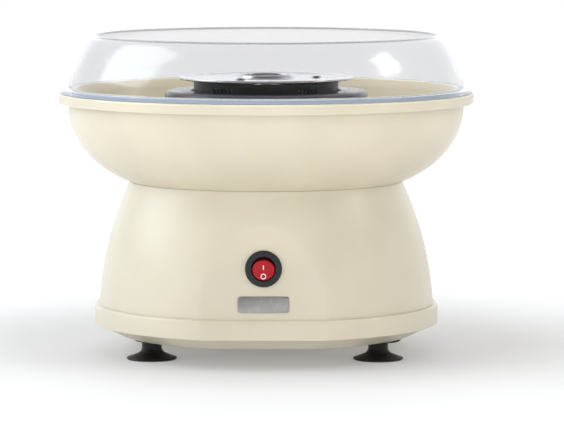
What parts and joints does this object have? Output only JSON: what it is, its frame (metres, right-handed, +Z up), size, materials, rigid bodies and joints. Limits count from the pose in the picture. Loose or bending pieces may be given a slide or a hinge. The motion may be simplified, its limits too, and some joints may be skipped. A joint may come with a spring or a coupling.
{
  "type": "cotton candy machine",
  "caption": "Tabletop cotton candy machine: flared base on suction feet, lift-off bowl with clear guard, spinning extractor head over a heater ring, round rocker switch.",
  "frame": {"origin": "on the floor under the centre of the bowl", "axes": "+Z up the motor shaft, the switch and badge face -Y, +X to the right of someone facing the switch"},
  "size_m": [0.282, 0.282, 0.216],
  "materials": {
    "cream_plastic": "glossy moulded",
    "foot_rubber": "moulded",
    "zinc_steel": "zinc plated",
    "black_plastic": "moulded",
    "polished_steel": "polished",
    "quartz": "milky tube",
    "ceramic": "unglazed",
    "dark_steel": "dark",
    "board": "laminate",
    "brass": "stamped",
    "copper": "turned",
    "badge_metal": "satin",
    "head_aluminium": "spun",
    "clear_plastic": "clear",
    "red_plastic": "moulded"
  },
  "bodies": {
    "base": {"base_housing": "cream_plastic", "bottom_cover": "cream_plastic", "foot_front_left": "foot_rubber", "foot_front_right": "foot_rubber", "foot_rear_left": "foot_rubber", "foot_rear_right": "foot_rubber", "cover_screw_1": "zinc_steel", "cover_screw_2": "zinc_steel", "cover_screw_3": "zinc_steel", "cover_screw_4": "zinc_steel", "cord_gland": "black_plastic", "turret": "cream_plastic", "turret_screw_1": "zinc_steel", "turret_screw_2": "zinc_steel", "turret_screw_3": "zinc_steel", "heat_shield": "dark_steel", "heater_ring": "quartz", "heater_post_1": "ceramic", "heater_post_2": "ceramic", "heater_post_3": "ceramic", "heater_cap_1": "ceramic", "heater_cap_2": "ceramic", "motor_can": "zinc_steel", "motor_magnet_1": "dark_steel", "motor_magnet_2": "dark_steel", "motor_end_bell": "black_plastic", "motor_bracket": "zinc_steel", "bracket_grommet_1": "foot_rubber", "bracket_grommet_2": "foot_rubber", "bracket_grommet_3": "foot_rubber", "bracket_screw_1": "zinc_steel", "bracket_screw_2": "zinc_steel", "bracket_screw_3": "zinc_steel", "motor_screw_1": "zinc_steel", "motor_screw_2": "zinc_steel", "thermal_cutout": "black_plastic", "rectifier_board": "board", "terminal_block": "black_plastic", "switch_housing": "black_plastic", "switch_terminal_1": "brass", "switch_terminal_2": "brass", "badge": "badge_metal"},
    "drive": {"motor_shaft": "polished_steel", "armature_core": "dark_steel", "commutator": "copper", "shaft_flinger": "brass", "drive_pin": "polished_steel"},
    "head": {"head_top_plate": "head_aluminium", "head_band": "dark_steel", "head_floor": "head_aluminium", "head_hub": "head_aluminium", "head_rivet_1": "zinc_steel", "head_rivet_2": "zinc_steel", "head_rivet_3": "zinc_steel"},
    "bowl": {"bowl": "cream_plastic"},
    "guard": {"guard": "clear_plastic"},
    "rocker": {"switch_rocker": "red_plastic"}
  },
  "joints": [
    {"name": "drive_spin", "type": "hinge", "parent": "base", "child": "drive", "pos_m": [0, 0, 0.174], "axis": [0, 0, 1], "continuous": true},
    {"name": "head_lift", "type": "slide", "parent": "drive", "child": "head", "axis": [0, 0, 1], "range_m": [0, 0.06]},
    {"name": "bowl_lift", "type": "slide", "parent": "base", "child": "bowl", "axis": [0, 0, 1], "range_m": [0, 0.09]},
    {"name": "guard_lift", "type": "slide", "parent": "bowl", "child": "guard", "axis": [0, 0, 1], "range_m": [0, 0.05]},
    {"name": "rocker_tip", "type": "hinge", "parent": "base", "child": "rocker", "pos_m": [0, -0.10079, 0.06639], "axis": [-1, 0, 0], "range_deg": [0, 20]}
  ]
}
